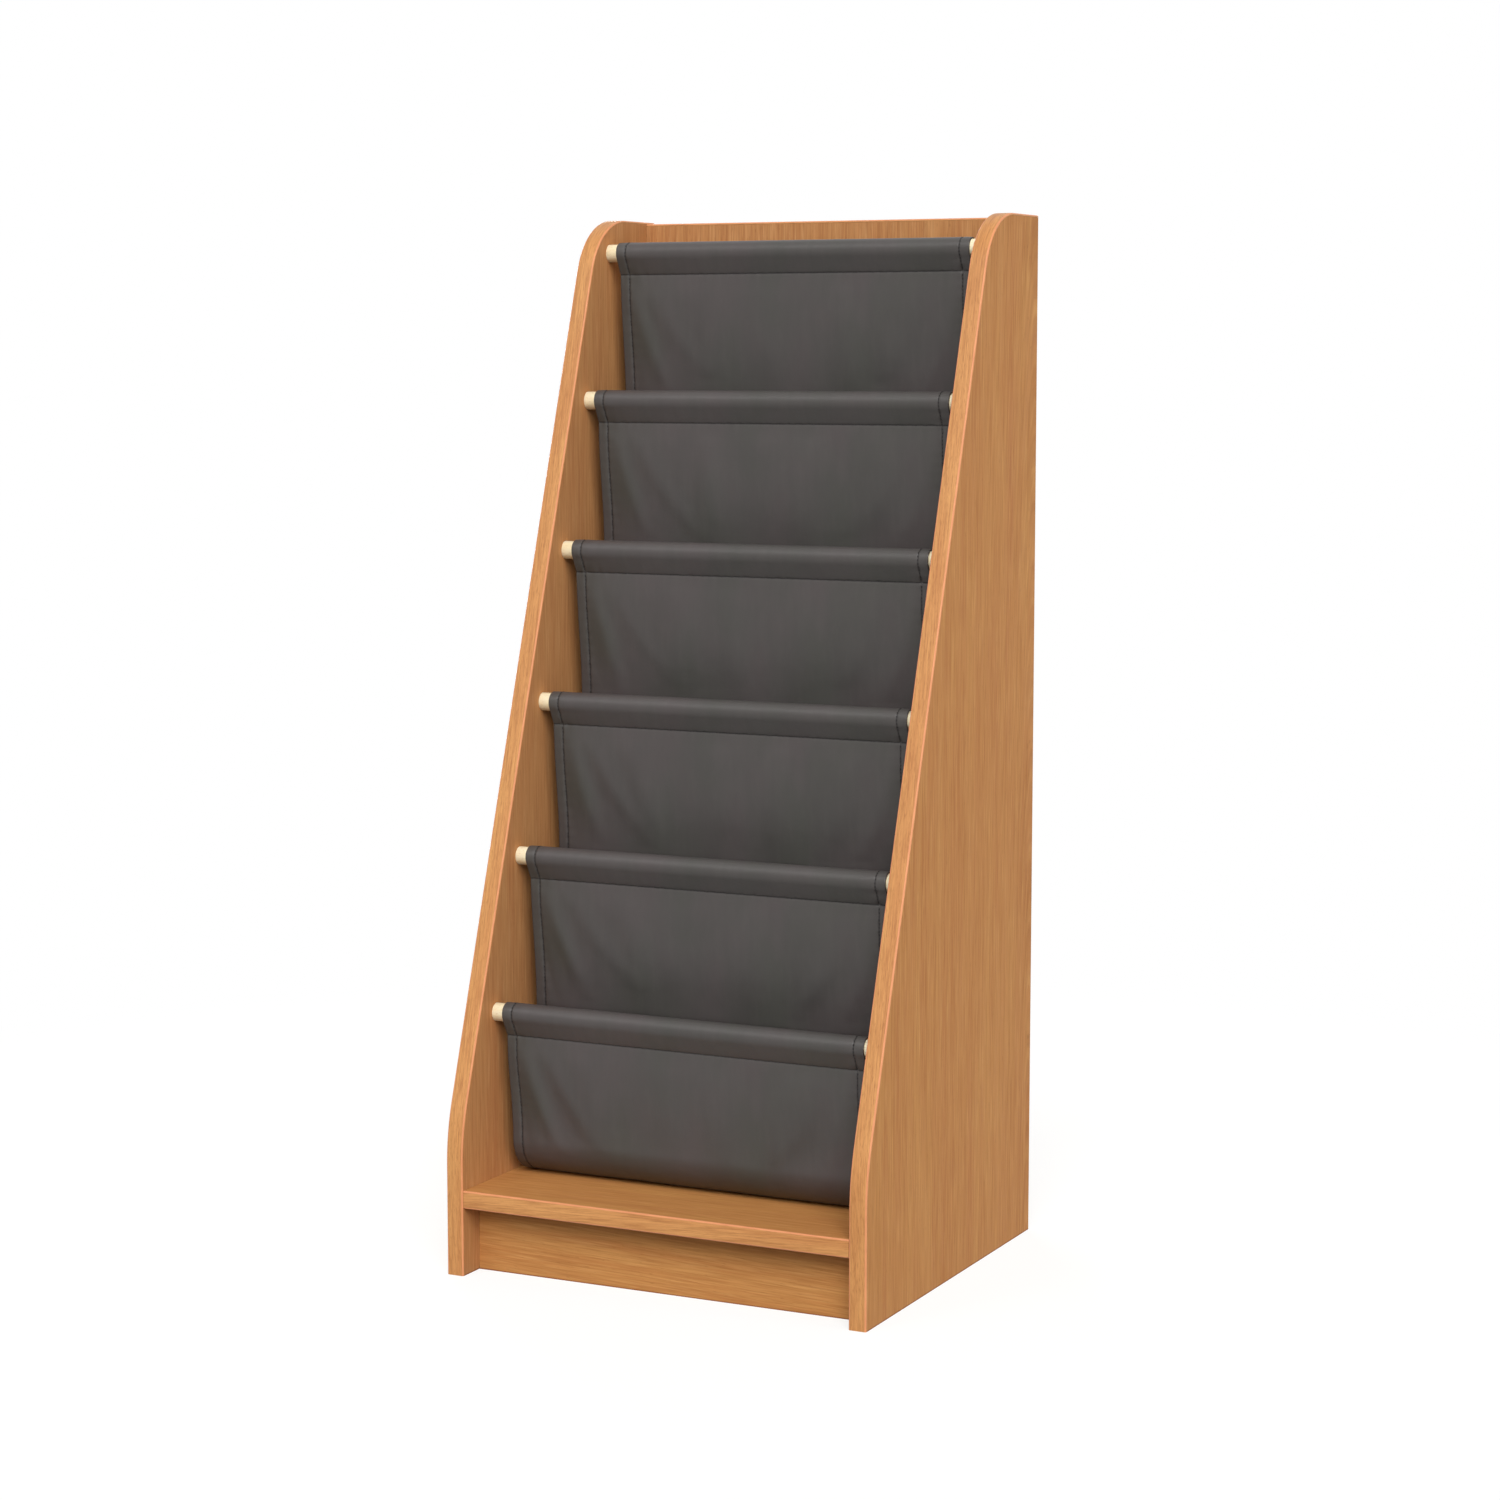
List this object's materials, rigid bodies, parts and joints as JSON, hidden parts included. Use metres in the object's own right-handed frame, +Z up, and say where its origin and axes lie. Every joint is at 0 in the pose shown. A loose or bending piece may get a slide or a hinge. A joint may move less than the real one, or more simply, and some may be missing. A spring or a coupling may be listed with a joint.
{
  "type": "sling bookshelf",
  "caption": "Narrow free-standing children's bookshelf with sloping side panels and stepped fabric sling pockets hung on round wooden dowels.",
  "frame": {"origin": "on the floor under the middle of the bookshelf's box", "axes": "+X to the user's right along the dowels, +Y to the rear, so the open front faces -Y, +Z up"},
  "size_m": [0.45, 0.41, 1.035],
  "materials": {
    "panel_board": "satin, warm light-brown wood grain",
    "edging": "satin, slightly lighter wood grain with rounded arrises",
    "dowel_wood": "pale, bare, finely sanded",
    "sling_cloth": "matt dark grey close-woven cloth",
    "cam_metal": "bright zinc"
  },
  "bodies": {
    "root": {"left_side_panel": "panel_board", "right_side_panel": "panel_board", "left_side_edging": "edging", "right_side_edging": "edging", "back_panel": "panel_board", "back_panel_edging": "edging", "base_shelf": "panel_board", "base_shelf_edging": "edging", "plinth": "panel_board", "front_dowel_1": "dowel_wood", "rear_dowel_1": "dowel_wood", "front_dowel_2": "dowel_wood", "rear_dowel_2": "dowel_wood", "front_dowel_3": "dowel_wood", "rear_dowel_3": "dowel_wood", "front_dowel_4": "dowel_wood", "rear_dowel_4": "dowel_wood", "front_dowel_5": "dowel_wood", "rear_dowel_5": "dowel_wood", "front_dowel_6": "dowel_wood", "rear_dowel_6": "dowel_wood", "sling_1": "sling_cloth", "sling_2": "sling_cloth", "sling_3": "sling_cloth", "sling_4": "sling_cloth", "sling_5": "sling_cloth", "sling_6": "sling_cloth", "shelf_front_left_cam": "cam_metal", "shelf_front_left_bolt": "cam_metal", "shelf_front_right_cam": "cam_metal", "shelf_front_right_bolt": "cam_metal", "shelf_rear_left_cam": "cam_metal", "shelf_rear_left_bolt": "cam_metal", "shelf_rear_right_cam": "cam_metal", "shelf_rear_right_bolt": "cam_metal", "plinth_left_cam": "cam_metal", "plinth_left_bolt": "cam_metal", "plinth_right_cam": "cam_metal", "plinth_right_bolt": "cam_metal", "back_low_left_cam": "cam_metal", "back_low_left_bolt": "cam_metal", "back_low_right_cam": "cam_metal", "back_low_right_bolt": "cam_metal", "back_middle_left_cam": "cam_metal", "back_middle_left_bolt": "cam_metal", "back_middle_right_cam": "cam_metal", "back_middle_right_bolt": "cam_metal", "back_high_left_cam": "cam_metal", "back_high_left_bolt": "cam_metal", "back_high_right_cam": "cam_metal", "back_high_right_bolt": "cam_metal", "shelf_peg_left": "dowel_wood", "shelf_peg_right": "dowel_wood", "back_low_peg_left": "dowel_wood", "back_low_peg_right": "dowel_wood", "back_high_peg_left": "dowel_wood", "back_high_peg_right": "dowel_wood"}
  },
  "joints": []
}
